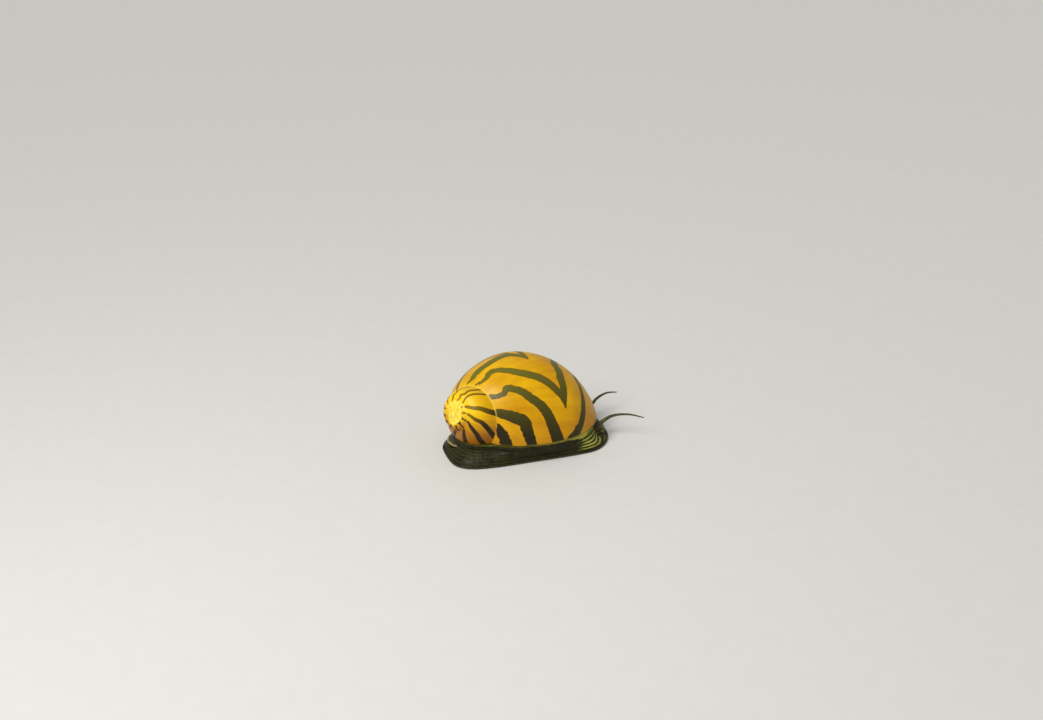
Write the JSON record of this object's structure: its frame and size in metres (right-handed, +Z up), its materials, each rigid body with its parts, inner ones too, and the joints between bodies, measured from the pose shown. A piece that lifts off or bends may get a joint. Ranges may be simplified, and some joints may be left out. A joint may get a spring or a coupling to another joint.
{
  "type": "nerite snail",
  "caption": "Life-size striped nerite snail crawling on its flat foot: amber coiled shell with dark zigzag bands, broad muzzle, slender feelers and eyes on low stalks.",
  "frame": {"origin": "a point of the flat sole on the ground, below the middle of the shell", "axes": "+X is the way the snail heads, +Y its left side, +Z up from the ground"},
  "size_m": [0.032, 0.0178, 0.0142],
  "materials": {
    "shell": "glossy amber calcareous shell with dark olive-brown zigzag bands and a pale worn tip",
    "operculum": "satin horn-coloured limy plate with fine growth arcs",
    "mantle": "wet, dark olive skin with a pale yellow edge",
    "skin": "wet, dark olive-black skin with fine pale yellow-green lines along the body",
    "eye": "glossy black"
  },
  "bodies": {
    "root": {"shell": "shell", "operculum": "operculum", "foot": "skin", "mantle": "mantle", "neck": "skin", "head": "skin", "tentacle_right_base": "skin", "tentacle_right_middle": "skin", "tentacle_right_tip": "skin", "eye_stalk_right": "skin", "eye_right": "eye", "tentacle_left_base": "skin", "tentacle_left_middle": "skin", "tentacle_left_tip": "skin", "eye_stalk_left": "skin", "eye_left": "eye"}
  },
  "joints": []
}
